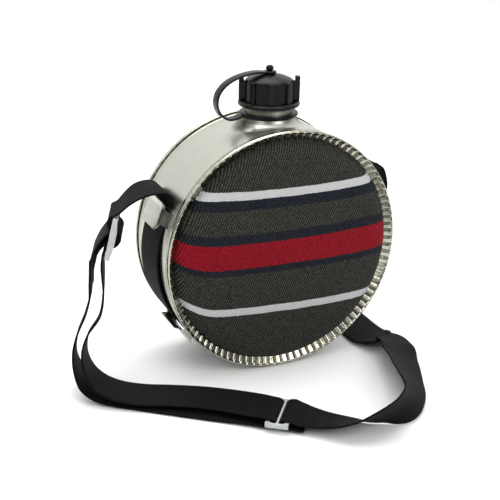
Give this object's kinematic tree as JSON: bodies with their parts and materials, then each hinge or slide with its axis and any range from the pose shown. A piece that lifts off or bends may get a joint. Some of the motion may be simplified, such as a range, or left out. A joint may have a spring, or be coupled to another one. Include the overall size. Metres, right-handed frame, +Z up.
{
  "type": "canteen",
  "caption": "Round steel water canteen with cloth-covered faces, screw cap on a tether, webbing brackets and an adjustable shoulder strap with sliders.",
  "frame": {"origin": "on the surface it stands on, below the middle of the drum, on the neck's axis", "axes": "+Z up along the neck and cap, the drum's axis along Y with its front face towards -Y, +X to the right seen from the front"},
  "size_m": [0.2709, 0.237, 0.2242],
  "materials": {
    "steel_satin": "satin, plated",
    "steel_bright": "bright, crimped",
    "blanket_cloth": "twill, olive grey with white, navy and red stripes",
    "felt": "felt",
    "black_plastic": "satin moulded",
    "gasket_rubber": "matte",
    "webbing": "ribbed woven webbing",
    "slider_plastic": "milky, slightly glossy"
  },
  "bodies": {
    "drum": {"body_band": "steel_satin", "front_head": "steel_satin", "back_head": "steel_satin", "front_felt_pad": "felt", "back_felt_pad": "felt", "front_blanket_cover": "blanket_cloth", "back_blanket_cover": "blanket_cloth", "front_clamp_ring": "steel_bright", "back_clamp_ring": "steel_bright", "spout": "steel_satin", "bracket_left_upper": "steel_satin", "bracket_left_lower": "steel_satin", "bracket_right_lower": "steel_satin", "bracket_right_upper": "steel_satin", "body_webbing": "webbing", "strap_upper": "webbing", "strap_return": "webbing", "strap_right": "webbing", "strap_right_tail": "webbing", "slider_short": "slider_plastic"},
    "gasket": {"cap_gasket": "gasket_rubber"},
    "cap": {"screw_cap": "black_plastic"},
    "tether": {"tether_ring": "black_plastic", "tether_strap": "black_plastic"},
    "eyelet": {"tether_eyelet": "black_plastic"},
    "slider": {"slider_long": "slider_plastic"}
  },
  "joints": [
    {"name": "cap_rise", "type": "slide", "parent": "drum", "child": "gasket", "axis": [0, 0, 1], "range_m": [0, 0.008]},
    {"name": "cap_spin", "type": "hinge", "parent": "gasket", "child": "cap", "pos_m": [0, 0, 0.2], "axis": [0, 0, 1], "range_deg": [0, 720]},
    {"name": "tether_swivel", "type": "hinge", "parent": "drum", "child": "tether", "pos_m": [0, 0, 0.1896], "axis": [0, 0, 1], "continuous": true},
    {"name": "eyelet_rise", "type": "slide", "parent": "tether", "child": "eyelet", "axis": [0, 0, 1], "range_m": [0, 0.008], "deforming": ["tether_strap"]},
    {"name": "slider_slide", "type": "slide", "parent": "drum", "child": "slider", "axis": [0.2142, -0.0829, 0.9733], "range_m": [-0.006, 0.006], "deforming": ["strap_upper", "strap_return"]}
  ],
  "couplings": [
    {"joint": "cap_rise", "follows": "cap_spin", "m_per_rad": 0.00063662},
    {"joint": "eyelet_rise", "follows": "cap_spin", "m_per_rad": 0.00063662}
  ]
}
